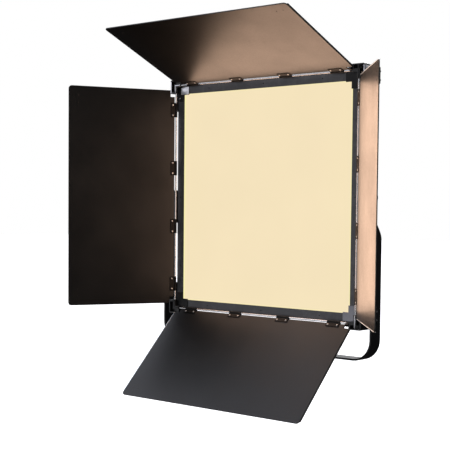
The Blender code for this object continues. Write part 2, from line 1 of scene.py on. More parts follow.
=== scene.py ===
"""Looks for the LED panel light: materials, small fittings, studio and camera.

The CAD parts stay where they are. Everything here is placed from the frame: the boxes of its
nodes and the hinges of its joints. Metres, +Z up, the light faces -Y.
"""

import math

import bmesh
import bpy
from mathutils import Matrix, Vector
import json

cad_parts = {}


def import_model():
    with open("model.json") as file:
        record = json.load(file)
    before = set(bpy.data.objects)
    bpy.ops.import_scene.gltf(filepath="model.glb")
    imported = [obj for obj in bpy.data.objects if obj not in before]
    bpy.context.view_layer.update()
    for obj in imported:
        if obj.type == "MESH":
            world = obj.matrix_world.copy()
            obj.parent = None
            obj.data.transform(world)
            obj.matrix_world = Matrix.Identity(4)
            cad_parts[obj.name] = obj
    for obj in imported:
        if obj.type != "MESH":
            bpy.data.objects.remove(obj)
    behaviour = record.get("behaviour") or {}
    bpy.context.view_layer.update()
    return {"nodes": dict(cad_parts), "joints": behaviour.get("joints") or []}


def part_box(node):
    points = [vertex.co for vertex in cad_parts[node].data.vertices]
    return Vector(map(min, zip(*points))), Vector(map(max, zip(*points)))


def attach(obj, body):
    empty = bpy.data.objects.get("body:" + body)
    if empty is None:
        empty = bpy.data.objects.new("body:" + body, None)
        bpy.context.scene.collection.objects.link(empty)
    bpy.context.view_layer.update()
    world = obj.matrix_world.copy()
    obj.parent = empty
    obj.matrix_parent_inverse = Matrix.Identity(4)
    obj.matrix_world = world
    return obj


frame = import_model()

MM = 0.001
SIDES = ("top", "right", "bottom", "left")
CORNERS = {"top_right": (1, 1), "top_left": (-1, 1), "bottom_right": (1, -1),
           "bottom_left": (-1, -1)}
JOINTS = {joint["name"]: joint for joint in frame["joints"]}
WELD_DISTANCE = 0.02 * MM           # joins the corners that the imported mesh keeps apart
SMOOTH_ANGLE = math.radians(35)     # edges flatter than this are shaded smooth
HEAD_SUNK = 0.3 * MM                # rivets and screws start this far inside their face
FREE_EDGE = 300 * MM                # a leaf's points further from its rod are at its free edge
HALF_TURN = Matrix.Rotation(math.pi, 4, 'X')


# --- frame measures -----------------------------------------------------------------------
def corner(node, x, y, z):
    """A point of a node's box: each of x, y and z is 0 for its low side, 1 for its high."""
    low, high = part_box(node)
    return Vector((low[i] + (high[i] - low[i]) * t for i, t in enumerate((x, y, z))))


def node_middle(node):
    """The middle of a node's box."""
    low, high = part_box(node)
    return (low + high) / 2


APERTURE_X = corner("frame_rail_right", 0, 0, 0).x
APERTURE_TOP = corner("frame_rail_top", 0, 0, 0).z
APERTURE_BOTTOM = corner("frame_rail_bottom", 0, 0, 1).z
CENTRE_Z = (APERTURE_TOP + APERTURE_BOTTOM) / 2
APERTURE_Z = (APERTURE_TOP - APERTURE_BOTTOM) / 2
BEZEL_FRONT = corner("frame_rail_top", 0, 0, 0).y
FACE = corner("diffuser", 0.5, 0, 0.5)
ROD_SOCKET = 6 * MM                 # how far the rods run into the brackets
BRACKET_INNER = corner("rod_top", 1, 0, 0).x - ROD_SOCKET
BOX_FACE = corner("control_box", 0.5, 1, 0.5).y
PANEL_FACE = corner("back_panel", 0.5, 1, 0.5).y


def hinge_frame(side):
    """A leaf's own frame: X on its rod, Y across the leaf to its free edge, Z outward."""
    joint = JOINTS[side + "_leaf"]
    origin, axis = Vector(joint["pos_m"]), Vector(joint["axis"])
    across = []
    for vertex in frame["nodes"]["leaf_" + side].data.vertices:
        arm = vertex.co - origin
        arm -= axis * arm.dot(axis)
        if arm.length > FREE_EDGE:
            across.append(arm.normalized())
    outward = axis.cross(across[0])
    inner = min(across, key=lambda arm: arm.dot(outward))
    columns = Matrix((axis, inner, axis.cross(inner))).transposed().to_4x4()
    return Matrix.Translation(origin) @ columns


def facing(direction, place=(0, 0, 0), up=(0, 0, 1)):
    """A frame at a place whose local Z points in a direction and whose Y is near up."""
    z = Vector(direction).normalized()
    x = Vector(up).cross(z).normalized()
    y = z.cross(x)
    return Matrix.Translation(place) @ Matrix((x, y, z)).transposed().to_4x4()


# --- node building ------------------------------------------------------------------------
# A Mix node has a set of sockets for each data type; these are the ones for colours.
MIX_FACTOR, MIX_FIRST, MIX_SECOND, MIX_RESULT = 0, 6, 7, 2


class Nodes:
    """A material's node tree, with short calls for the nodes that the materials share."""

    def __init__(self, name):
        self.material = bpy.data.materials.new(name)
        self.material.use_nodes = True
        self.tree = self.material.node_tree
        self.shader = self.tree.nodes["Principled BSDF"]

    def add(self, kind, inputs=None, **settings):
        node = self.tree.nodes.new(kind)
        for key, value in settings.items():
            setattr(node, key, value)
        for key, value in (inputs or {}).items():
            self.feed(node.inputs[key], value)
        return node

    def feed(self, socket, value):
        if isinstance(value, bpy.types.NodeSocket):
            self.tree.links.new(value, socket)
        else:
            socket.default_value = value

    def set(self, **values):
        """Set or link the shader's own sockets."""
        for key, value in values.items():
            self.feed(self.shader.inputs[key.replace("_", " ")], value)

    def place(self):
        """Object coordinates, in metres."""
        return self.add("ShaderNodeTexCoord").outputs["Object"]

    def noise(self, scale, detail=3.0, rough=0.5, place=None):
        inputs = {"Vector": place or self.place(), "Scale": scale, "Detail": detail,
                  "Roughness": rough}
        return self.add("ShaderNodeTexNoise", inputs).outputs["Fac"]

    def remap(self, value, low, high, to_low, to_high, smooth=False):
        inputs = {"Value": value, "From Min": low, "From Max": high, "To Min": to_low,
                  "To Max": to_high}
        node = self.add("ShaderNodeMapRange", inputs)
        if smooth:
            node.interpolation_type = 'SMOOTHSTEP'
        return node.outputs["Result"]

    def mix(self, fac, first, second):
        node = self.add("ShaderNodeMix", data_type='RGBA')
        self.feed(node.inputs[MIX_FACTOR], fac)
        self.feed(node.inputs[MIX_FIRST], first)
        self.feed(node.inputs[MIX_SECOND], second)
        return node.outputs[MIX_RESULT]

    def math(self, operation, first, second=0.0):
        node = self.add("ShaderNodeMath", operation=operation)
        self.feed(node.inputs[0], first)
        self.feed(node.inputs[1], second)
        return node.outputs[0]

    def bump(self, height, distance):
        inputs = {"Height": height, "Distance": distance, "Strength": 1.0}
        return self.add("ShaderNodeBump", inputs).outputs["Normal"]


def rgba(colour, scale=1.0):
    return (colour[0] * scale, colour[1] * scale, colour[2] * scale, 1)


def powder_coat(name, colour, roughness, grain=0.9 * MM, depth=0.03 * MM, shine=0.5):
    """Baked powder paint: fine orange peel, faint dust and handling marks in the gloss."""
    n = Nodes(name)
    peel = n.noise(1 / grain, 2, 0.55)
    marks = n.noise(9, 5, 0.62)
    grit = n.remap(n.noise(280, 2, 0.6), 0.35, 0.65, -0.03, 0.03)
    marks = n.remap(marks, 0.3, 0.7, roughness - 0.035, roughness + 0.045)
    dust = n.remap(n.noise(38, 6, 0.7), 0.45, 0.75, 0, 1, smooth=True)
    n.set(Base_Color=n.mix(dust, rgba(colour), rgba(colour, 1.5)),
          Roughness=n.math('ADD', marks, grit), Specular_IOR_Level=shine,
          Normal=n.bump(peel, depth))
    return n.material


def brushed(name, colour, roughness, along):
    """Satin metal with hairlines that run along one axis (0, 1 or 2)."""
    across_lines, along_lines = 1 / (0.35 * MM), 6.0
    n = Nodes(name)
    stretch = [across_lines] * 3
    stretch[along] = along_lines
    place = n.add("ShaderNodeMapping", {"Vector": n.place(), "Scale": stretch}).outputs[0]
    lines = n.noise(1.0, 3, 0.6, place)
    smudge = n.noise(30, 3)
    n.set(Metallic=1.0,
          Base_Color=n.mix(n.remap(lines, 0.3, 0.7, 0, 1), rgba(colour, 0.86), rgba(colour)),
          Roughness=n.remap(smudge, 0.3, 0.7, roughness - 0.05, roughness + 0.08),
          Normal=n.bump(lines, 0.01 * MM))
    return n.material


def plated(name, colour, roughness):
    """Polished or plated metal with faint tarnish."""
    n = Nodes(name)
    tarnish = n.remap(n.noise(60, 4, 0.6), 0.4, 0.75, 0, 1)
    n.set(Metallic=1.0, Base_Color=n.mix(tarnish, rgba(colour), rgba(colour, 0.82)),
          Roughness=n.remap(n.noise(150, 3), 0.3, 0.7, roughness, roughness + 0.07))
    return n.material


def moulded(name, colour, roughness, grain=0.5 * MM, depth=0.04 * MM):
    """Moulded plastic with a spark-eroded texture."""
    n = Nodes(name)
    cells = n.add("ShaderNodeTexVoronoi", {"Vector": n.place(), "Scale": 1 / grain})
    wear = n.remap(n.noise(45, 4, 0.6), 0.5, 0.8, 0, 1)
    n.set(Base_Color=n.mix(wear, rgba(colour), rgba(colour, 1.35)),
          Roughness=n.remap(n.noise(20, 3), 0.3, 0.7, roughness - 0.04, roughness + 0.05),
          Normal=n.bump(cells.outputs["Distance"], depth))
    return n.material


def satin_metal(name, colour, roughness):
    """Bead-blasted metal: an even, fine sparkle with faint handling marks."""
    n = Nodes(name)
    marks = n.remap(n.noise(70, 4, 0.6), 0.45, 0.75, 0, 1)
    n.set(Metallic=1.0, Base_Color=n.mix(marks, rgba(colour), rgba(colour, 0.84)),
          Roughness=n.remap(marks, 0, 1, roughness, roughness + 0.06),
          Normal=n.bump(n.noise(2200, 2), 0.008 * MM))
    return n.material


def glossy_plastic(name, colour, roughness):
    """Smooth plastic or glass with a faint swirl in its colour and gloss."""
    n = Nodes(name)
    swirl = n.noise(25, 4)
    n.set(Base_Color=n.mix(swirl, rgba(colour, 0.85), rgba(colour, 1.15)),
          Roughness=n.remap(swirl, 0.3, 0.7, roughness, roughness + 0.06))
    return n.material


GLOW = (0.905, 0.762, 0.505)        # the lit face's colour
GLOW_RIM = (1.0, 0.93, 0.46)        # and that of its rim


def lit_diffuser():
    """Opal acrylic lit through its edges: an even cream face with a hotter yellow rim, strong
    at the sides, where the LED strips are, and faint along the top and the bottom."""
    n = Nodes("opal_diffuser")
    axes = n.add("ShaderNodeSeparateXYZ", {"Vector": n.place()}).outputs
    side = n.math('SUBTRACT', APERTURE_X, n.math('ABSOLUTE', axes["X"]))
    height = n.math('ABSOLUTE', n.math('SUBTRACT', axes["Z"], CENTRE_Z))
    edge = n.math('MINIMUM', side, n.math('SUBTRACT', APERTURE_Z, height))
    rim = n.math('MAXIMUM', n.remap(side, 1 * MM, 6.5 * MM, 1, 0, smooth=True),
                 n.remap(edge, 1 * MM, 5 * MM, 0.35, 0, smooth=True))
    falloff = n.remap(edge, 0, 0.12, 1.0, 0.0, smooth=True)
    cloud = n.remap(n.noise(5, 2), 0.3, 0.7, 0, 1)
    face = n.mix(cloud, rgba(GLOW, 0.985), rgba(GLOW, 1.01))
    face = n.mix(n.math('MULTIPLY', falloff, 0.04), face, rgba(GLOW_RIM))
    n.set(Base_Color=(0.02, 0.02, 0.02, 1), Roughness=0.6, Specular_IOR_Level=0.1,
          Emission_Color=n.mix(rim, face, rgba(GLOW_RIM)), Emission_Strength=1.0,
          Normal=n.bump(n.noise(1500, 2), 0.02 * MM))
    return n.material


def led_emitters():
    """A strip of amber-white emitters along Z."""
    pitch = 7 * MM
    n = Nodes("led_emitters")
    axes = n.add("ShaderNodeSeparateXYZ", {"Vector": n.place()}).outputs
    phase = n.math('FRACT', n.math('DIVIDE', axes["Z"], pitch))
    dot = n.remap(n.math('ABSOLUTE', n.math('SUBTRACT', phase, 0.5)), 0.2, 0.28, 1, 0)
    n.set(Base_Color=n.mix(dot, (0.6, 0.6, 0.58, 1), (0.9, 0.6, 0.1, 1)), Roughness=0.4,
          Emission_Color=n.mix(dot, (0, 0, 0, 1), (1.0, 0.7, 0.3, 1)), Emission_Strength=2.0)
    return n.material


def clear_acrylic():
    """The light guide's plate."""
    n = Nodes("clear_acrylic")
    n.set(Base_Color=n.mix(n.noise(8, 2), (0.9, 0.9, 0.88, 1), (0.84, 0.86, 0.84, 1)),
          Roughness=0.08, Transmission_Weight=0.6, IOR=1.49)
    return n.material


def level_bars():
    """The display's lit bars."""
    n = Nodes("display_glow")
    n.set(Base_Color=n.mix(n.noise(900, 1), (0.1, 0.5, 0.6, 1), (0.12, 0.6, 0.7, 1)),
          Roughness=0.4, Emission_Color=(0.25, 0.85, 1.0, 1), Emission_Strength=0.7)
    return n.material


LEAF_BLACK = (0.002, 0.002, 0.0022)
BLACK = (0.007, 0.007, 0.0075)
SOFT_BLACK = (0.014, 0.014, 0.015)
BACK_BLACK = (0.026, 0.026, 0.028)
BLUE_GREY = (0.088, 0.087, 0.095)
COVER_DARK = moulded("cover_dark", (0.006, 0.006, 0.007), 0.6, 0.5 * MM, 0.02 * MM)
MATERIALS = {
    "leaf": powder_coat("leaf_powder_coat", LEAF_BLACK, 0.37, shine=0.58),
    "yoke": powder_coat("yoke_powder_coat", BLACK, 0.42, 1.2 * MM, 0.05 * MM),
    "bracket": powder_coat("bracket_powder_coat", BLACK, 0.40),
    "back": powder_coat("back_powder_coat", BACK_BLACK, 0.48, 1.4 * MM, 0.06 * MM),
    "clip": powder_coat("clip_black_oxide", LEAF_BLACK, 0.45, 0.4 * MM, 0.01 * MM, 0.2),
    "rail": powder_coat("rail_anodised", BLUE_GREY, 0.42, 0.5 * MM, 0.012 * MM),
    "cover_top_left": COVER_DARK,
    "cover_top_right": COVER_DARK,
    "cover_bottom_left": COVER_DARK,
    # painted sheen: the bottom right cover is the same part as the other three, made lighter
    # grey where light falls on it
    "cover_bottom_right": satin_metal("cover_mid", (0.21, 0.21, 0.23), 0.36),
    # painted highlight: near-white satin metal for the corner pieces that stand for light caught
    # on the top left and bottom right corners
    "plate": satin_metal("cover_light", (0.78, 0.78, 0.82), 0.32),
    "case": powder_coat("case_coat", (0.028, 0.029, 0.033), 0.45, 1.0 * MM, 0.05 * MM),
    "rod": plated("rod_chrome", (0.82, 0.82, 0.83), 0.16),
    "steel": plated("zinc_steel", (0.62, 0.62, 0.62), 0.28),
    "spigot": brushed("spigot_steel", (0.66, 0.66, 0.67), 0.24, 0),
    # painted highlight: a light metal used only for the top right bracket's band, where light
    # falls
    "trim": brushed("trim_aluminium", (0.58, 0.58, 0.62), 0.38, 2),
    # painted highlight: light metal for the strips along the leaves' bends that stand for light
    # caught there
    "bead": brushed("bare_edge", (0.62, 0.74, 0.86), 0.36, 2),
    "nickel": plated("nickel", (0.55, 0.54, 0.52), 0.22),
    "knob": moulded("knob_plastic", SOFT_BLACK, 0.46, 0.6 * MM),
    "grey": moulded("grey_plastic", (0.2, 0.2, 0.21), 0.45, 0.4 * MM),
    "gloss": glossy_plastic("gloss_plastic", SOFT_BLACK, 0.18),
    "glass": glossy_plastic("display_glass", (0.006, 0.007, 0.010), 0.04),
    "washer": moulded("fibre_washer", (0.05, 0.05, 0.05), 0.8, 0.8 * MM),
    # painted shade: near-black for the inside of the back's slots and the holes of a data socket
    "void": moulded("dark_lining", (0.004, 0.004, 0.004), 0.9, 2 * MM),
    "white": moulded("white_sheet", (0.8, 0.8, 0.79), 0.6, 1 * MM),
    "ink": moulded("white_ink", (0.62, 0.62, 0.62), 0.6, 0.3 * MM),
    "led_bar": level_bars(),
    "diffuser": lit_diffuser(),
    "led": led_emitters(),
    "guide": clear_acrylic(),
}

# Which material each CAD node takes, by how its name starts, and how far its edges are
# rounded, in mm. Each corner cover takes the material of its own name; the bottom right one
# is a lighter grey copy of the dark cover, painted sheen where light falls on that corner.
DRESS = (
    ("leaf_", "leaf", 0.5), ("yoke", "yoke", 0.8), ("spigot", "spigot", 0.3),
    ("friction_washer", "washer", 0.2), ("pivot_block", "bracket", 1.2),
    ("pivot_bolt", "steel", 0.4), ("tilt_knob", "knob", 0.3), ("frame_rail", "rail", 0.5),
    ("corner_cover", "cover", 0.2), ("corner_bracket", "bracket", 0.5), ("rod_", "rod", 0.2),
    ("clip_", "clip", 0.25), ("diffuser", "diffuser", 0), ("light_guide", "guide", 0),
    ("led_strip", "led", 0), ("reflector", "white", 0), ("back_panel", "back", 0.3),
    ("control_box", "case", 0.3), ("display_window", "glass", 0.2),
    ("dimmer_knob", "knob", 0.3), ("colour_knob", "knob", 0.3), ("mode_button", "grey", 0.2),
    ("power_switch", "gloss", 0.4), ("power_inlet", "gloss", 0.4),
    ("data_socket", "nickel", 0.3),
)


def dress_nodes():
    """Give every CAD node its material and finely rounded edges."""
    for name, node in frame["nodes"].items():
        _, key, edge = next(rule for rule in DRESS if name.startswith(rule[0]))
        if key == "cover":
            key = name.replace("corner_", "")
        node.data.materials.clear()
        node.data.materials.append(MATERIALS[key])
        if edge:
            round_edges(node, edge * MM)


def round_edges(node, width):
    """Small rounded edges on a CAD node, by modifiers that leave its mesh as it is."""
    weld = node.modifiers.new("Weld", 'WELD')
    weld.merge_threshold = WELD_DISTANCE
    bevel = node.modifiers.new("Edges", 'BEVEL')
    bevel.width = width
    bevel.segments = 2
    bevel.limit_method = 'ANGLE'
    bevel.angle_limit = SMOOTH_ANGLE
    bevel.harden_normals = False
    smooth = node.modifiers.new("Normals", 'WEIGHTED_NORMAL')
    smooth.keep_sharp = True
    node.data.shade_smooth()


# --- pieces -------------------------------------------------------------------------------
def piece(name, bm, material, body):
    """A finished piece from a bmesh, riding on a body."""
    bmesh.ops.recalc_face_normals(bm, faces=bm.faces)
    mesh = bpy.data.meshes.new(name)
    bm.to_mesh(mesh)
    bm.free()
    mesh.materials.append(MATERIALS[material])
    mesh.shade_smooth()
    mesh.set_sharp_from_angle(angle=SMOOTH_ANGLE)
    made = bpy.data.objects.new(name, mesh)
    bpy.context.scene.collection.objects.link(made)
    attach(made, body)
    return made


def add_rings(bm, rings, place, sides):
    """A closed turned shape from (radius, height) rings, the lowest first. A radius may be a
    function of the angle."""
    loops = []
    for radius, height in rings:
        loop = []
        for i in range(sides):
            angle = 2 * math.pi * i / sides
            r = radius(angle) if callable(radius) else radius
            point = Vector((r * math.cos(angle), r * math.sin(angle), height))
            loop.append(bm.verts.new(place @ point))
        loops.append(loop)
    for lower, upper in zip(loops, loops[1:]):
        for i in range(sides):
            j = (i + 1) % sides
            bm.faces.new((lower[i], lower[j], upper[j], upper[i]))
    bm.faces.new(loops[0][::-1])
    bm.faces.new(loops[-1])


def hexagon(across_flats):
    """The radius of a hexagon as a function of the angle."""
    def radius(angle):
        return across_flats / 2 / math.cos((angle % (math.pi / 3)) - math.pi / 6)
    return radius


def add_rivet(bm, place, radius, height):
    """A domed rivet head on the face z = 0."""
    steps, tip = 4, radius * 0.06
    rings = [(radius, -HEAD_SUNK)]
    for i in range(steps + 1):
        angle = math.pi / 2 * i / steps
        rings.append((max(radius * math.cos(angle), tip), height * math.sin(angle)))
    add_rings(bm, rings, place, 16)


def add_screw(bm, place, radius):
    """A button-head screw with a hexagon socket, in shares of its radius."""
    key = hexagon(radius * 0.95)
    rings = [(radius, -HEAD_SUNK), (radius, radius * 0.18), (radius * 0.92, radius * 0.42),
             (radius * 0.74, radius * 0.56), (key, radius * 0.58), (key, radius * 0.1)]
    add_rings(bm, rings, place, 24)


def add_box(bm, low, high, place=Matrix(), edge=0.0):
    """A box between two corners, its edges rounded when edge is given."""
    low, high = Vector(low), Vector(high)
    made = bmesh.ops.create_cube(bm, size=1)["verts"]
    bmesh.ops.scale(bm, verts=made, vec=high - low)
    bmesh.ops.translate(bm, verts=made, vec=(low + high) / 2)
    faces = {face for vertex in made for face in vertex.link_faces}
    if edge:
        edges = {e for vertex in made for e in vertex.link_edges}
        rounded = bmesh.ops.bevel(bm, geom=list(edges), offset=edge, segments=3, profile=0.5,
                                  affect='EDGES')
        faces = {face for face in faces if face.is_valid} | set(rounded["faces"])
    bmesh.ops.transform(bm, verts=list({v for face in faces for v in face.verts}),
                        matrix=place)


# --- barn door fittings -------------------------------------------------------------------
CLIPS = "abcd"                      # the letters of a leaf's four clips
RIVET_SPREAD = 15 * MM              # rivets on a clip, from its middle
RIVET_ACROSS = 10.5 * MM            # from the rod's axis
RIVET_R = 2.5 * MM
STRAP_FACE = -1.5 * MM              # the clip's strap, below the leaf's inner face
SHEET = 1.2 * MM                    # thickness of a leaf


def leaf_size(side):
    """Half length along the rod and depth across, from the leaf's mesh."""
    to_leaf = hinge_frame(side).inverted()
    points = [to_leaf @ v.co for v in frame["nodes"]["leaf_" + side].data.vertices]
    return max(p.x for p in points), max(p.y for p in points)


def clip_rivets(side):
    """Two bright rivets through each hinge clip, with their heads on both faces."""
    inner_height, outer_height = 1.3 * MM, 1.1 * MM
    hinge = hinge_frame(side)
    bm = bmesh.new()
    for letter in CLIPS:
        middle = (hinge.inverted() @ node_middle("clip_" + side + "_" + letter)).x
        for along in (middle - RIVET_SPREAD, middle + RIVET_SPREAD):
            inner = Matrix.Translation((along, RIVET_ACROSS, STRAP_FACE))
            add_rivet(bm, hinge @ inner @ HALF_TURN, RIVET_R, inner_height)
            outer = Matrix.Translation((along, RIVET_ACROSS, SHEET))
            add_rivet(bm, hinge @ outer, RIVET_R, outer_height)
    piece("clip_rivets_" + side, bm, "steel", "leaf_" + side)


def latches(side):
    """Near each free corner: a latch plate outside, held by two rivets seen from both faces."""
    from_side, from_edge = 36 * MM, 27 * MM
    half_length, half_width, thick = 19 * MM, 8 * MM, 6.5 * MM
    lift, rounding = 0.1 * MM, 0.8 * MM
    spacing = 10 * MM
    hinge = hinge_frame(side)
    half, depth = leaf_size(side)
    plates, rivets, heads = bmesh.new(), bmesh.new(), bmesh.new()
    for end in (-1, 1):
        along, across = end * (half - from_side), depth - from_edge
        spot = hinge @ Matrix.Translation((along, across, SHEET))
        add_box(plates, (-half_length, -half_width, lift), (half_length, half_width, thick),
                spot, rounding)
        for step in (-spacing, spacing):
            add_rivet(rivets, spot @ Matrix.Translation((step, 0, thick)), 3.2 * MM, 2.2 * MM)
            below = Matrix.Translation((step, 0, -SHEET)) @ HALF_TURN
            add_rivet(heads, spot @ below, 1.9 * MM, 0.6 * MM)
    body = "leaf_" + side
    piece("latch_plates_" + side, plates, "clip", body)
    piece("latch_rivets_" + side, rivets, "steel", body)
    piece("latch_heads_" + side, heads, "leaf", body)


def edge_beads():
    """Bright bends along the sides of the right leaf and the left side of the bottom one: light
    metal strips that are painted highlight, where light catches these bends.
    """
    bead = 0.9 * MM
    tip, taper = 0.3 * bead, 3 * bead
    lift = 0.2 * MM
    for side, end in (("right", -1), ("right", 1), ("bottom", -1)):
        half, depth = leaf_size(side)
        start, stop = 20 * MM, depth - 10 * MM
        length = stop - start
        along = end * (half - 0.5 * bead)
        line = (hinge_frame(side) @ Matrix.Translation((along, start, lift))
                @ Matrix.Rotation(-math.pi / 2, 4, 'X'))
        bm = bmesh.new()
        add_rings(bm, [(tip, 0), (bead, taper), (bead, length - taper), (tip, length)], line, 10)
        suffix = "_low" if end < 0 else "_high"
        piece("edge_bead_" + side + suffix, bm, "bead", "leaf_" + side)


# --- corner fittings ----------------------------------------------------------------------
BRACKET_LEG = BRACKET_INNER + 1 * MM    # where the sleeves and bands on a bracket start


def rod_lines():
    """Sleeves over the rods, on the front of the brackets: an upright one on each and, on the
    left ones, a level one with a collar that meets it at the corner. The top left and bottom
    right sleeves are light metal as painted highlight; the other two are black."""
    radius = 2.1 * MM
    tip, taper = 0.8 * radius, 0.4 * radius
    collar_r, collar_end, collar_step = 1.5 * radius, 2 * MM, 2.6 * MM
    rod_x = JOINTS["right_leaf"]["pos_m"][0]
    rod_z = JOINTS["top_leaf"]["pos_m"][2] - CENTRE_Z
    past_corner = 1.5 * MM
    past_corner_right = 14 * MM
    for name, (sx, sz) in CORNERS.items():
        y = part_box("corner_bracket_" + name)[0].y + 0.9 * MM
        length = rod_z - BRACKET_LEG + (past_corner if sx < 0 else past_corner_right)
        bm = bmesh.new()
        upright = facing((0, 0, sz), (sx * rod_x, y, CENTRE_Z + sz * BRACKET_LEG), (0, 1, 0))
        add_rings(bm, [(tip, 0), (radius, taper), (radius, length - taper), (tip, length)],
                  upright, 14)
        if sx < 0:
            level = facing((sx, 0, 0), (sx * BRACKET_LEG, y, CENTRE_Z + sz * rod_z))
            reach = rod_x + past_corner - BRACKET_LEG
            add_rings(bm, [(collar_r, 0), (collar_r, collar_end), (radius, collar_step),
                           (radius, reach)], level, 14)
        # painted highlight: the top left and bottom right sleeves take the light plate metal,
        # the other two the brackets' black
        bright = (sx < 0) == (sz > 0)
        piece("rod_sleeve_" + name, bm, "plate" if bright else "bracket", "head")


def half_drum(radius, flat, sign):
    """The outline of a drum cut away on one side, as a radius for each angle."""
    cut_below = 0.2                 # sine of the angle where the cut starts

    def outline(angle):
        return radius if sign * math.sin(angle) > cut_below else flat
    return outline


def rod_ends():
    """Half drums round the rods beside the right brackets, inside the leaves' notches."""
    width, flat, chamfer = 9 * MM, 2.8 * MM, 0.7 * MM
    gap = 0.2 * MM
    rod_y = JOINTS["top_leaf"]["pos_m"][1]
    bm = bmesh.new()
    for side, sign, radius in (("top", 1, 11.6 * MM), ("bottom", -1, 9.5 * MM)):
        rod_z = JOINTS[side + "_leaf"]["pos_m"][2]
        place = facing((1, 0, 0), (BRACKET_INNER - gap - width, rod_y, rod_z))
        rim = half_drum(radius, flat, sign)
        inset = half_drum(radius - chamfer, flat - chamfer, sign)
        add_rings(bm, [(inset, 0), (rim, chamfer), (rim, width - chamfer), (inset, width)],
                  place, 40)
    piece("rod_ends_right", bm, "bracket", "head")


def bracket_trims():
    """On each corner bracket, a band on its side wall and a line down that wall's front. They
    are bright on the top brackets, as painted highlight, and black on the bottom ones."""
    sunk, proud = 0.5 * MM, 0.25 * MM
    band, line = 19 * MM, 4 * MM
    from_end = 4.5 * MM
    for name, (sx, sz) in CORNERS.items():
        low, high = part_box("corner_bracket_" + name)
        front, side = low.y, (high.x if sx > 0 else low.x)
        end = (high.z if sz > 0 else low.z) - sz * from_end
        z0, z1 = sorted((CENTRE_Z + sz * BRACKET_LEG, end))
        bm = bmesh.new()
        x0, x1 = sorted((side - sx * sunk, side + sx * proud))
        add_box(bm, (x0, front + sunk, z0), (x1, front + band, z1), edge=0.1 * MM)
        x0, x1 = sorted((side - sx * 0.2 * MM, side - sx * line))
        add_box(bm, (x0, front - proud, z0), (x1, front + sunk, z1), edge=0.2 * MM)
        # painted highlight: bright metal on the top brackets, the brackets' own black on the
        # bottom ones
        material = {"top_left": "plate", "top_right": "trim"}.get(name, "bracket")
        piece("bracket_band_" + name, bm, material, "head")


def cover_plate():
    """The bright plate on the level leg of the top left cover, and the cover's screw: painted
    highlight, a light satin metal where light catches that leg.
    """
    low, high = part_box("corner_cover_top_left")
    length, rim, stand = 31 * MM, 0.8 * MM, 0.35 * MM
    overhang = 2 * MM               # past the aperture's edge
    screw_in, screw_down, screw_r = 6 * MM, 12 * MM, 2.2 * MM
    bm = bmesh.new()
    add_box(bm, (high.x - length, low.y - stand, APERTURE_TOP - overhang),
            (high.x - rim, low.y + stand, high.z - rim), edge=0.3 * MM)
    screw = (low.x + screw_in, low.y, APERTURE_TOP - screw_down)
    add_screw(bm, facing((0, -1, 0), screw), screw_r)
    piece("cover_plate_top_left", bm, "plate", "head")


def bracket_screws():
    """Two screws in the side of each corner bracket and two in its end."""
    radius = 2.8 * MM
    from_front, from_back = 29 * MM, 9 * MM
    bm = bmesh.new()
    for name, (sx, sz) in CORNERS.items():
        low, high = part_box("corner_bracket_" + name)
        middle = (low + high) / 2
        x = high.x if sx > 0 else low.x
        z = high.z if sz > 0 else low.z
        for y in (low.y + from_front, high.y - from_back):
            add_screw(bm, facing((sx, 0, 0), (x, y, middle.z)), radius)
            add_screw(bm, facing((0, 0, sz), (middle.x, y, z), (0, 1, 0)), radius)
    piece("bracket_screws", bm, "steel", "head")


def rail_screws():
    """Three small screws on the front of each frame rail."""
    radius, spacing = 1.5 * MM, 200 * MM
    bm = bmesh.new()
    bezel_x = (APERTURE_X + corner("frame_rail_right", 1, 0, 0).x) / 2
    bezel_z = (APERTURE_Z + corner("frame_rail_top", 0, 0, 1).z - CENTRE_Z) / 2
    front = facing((0, -1, 0), (0, BEZEL_FRONT, CENTRE_Z))
    for along in (-spacing, 0, spacing):
        for sign in (-1, 1):
            add_screw(bm, front @ Matrix.Translation((along, sign * bezel_z, 0)), radius)
            add_screw(bm, front @ Matrix.Translation((sign * bezel_x, along, 0)), radius)
    piece("rail_screws", bm, "clip", "head")


# --- yoke fittings ------------------------------------------------------------------------
YOKE_BAR = 5.3 * MM                 # from the spigot's top to the upper face of the bar
BLOCK_FACE = 346 * MM               # X of the pivot blocks' outer faces, beside their bosses


def spigot_nut():
    """A nut on a washer over the yoke's bar, with the end of a stud standing out of it."""
    washer_r, washer_edge, washer = 14 * MM, 13 * MM, 2.4 * MM
    bevel = 0.4 * MM
    nut, chamfer_r = hexagon(19 * MM), 10 * MM
    nut_low, nut_top, stud_top = 2.3 * MM, 10.4 * MM, 15 * MM
    nut_bevel = 0.9 * MM
    stud_foot_r, stud_r, stud_end_r = 6.2 * MM, 6 * MM, 5.2 * MM
    bar = corner("spigot", 0.5, 0.5, 1)
    bar.z += YOKE_BAR
    bm = bmesh.new()
    place = Matrix.Translation(bar)
    add_rings(bm, [(washer_edge, 0), (washer_r, bevel), (washer_r, washer - bevel),
                   (washer_edge, washer)], place, 32)
    add_rings(bm, [(chamfer_r, nut_low), (nut, nut_low + nut_bevel), (nut, nut_top - nut_bevel),
                   (chamfer_r, nut_top), (stud_foot_r, nut_top), (stud_r, stud_top - 1 * MM),
                   (stud_end_r, stud_top)], place, 48)
    piece("spigot_nut", bm, "steel", "yoke")


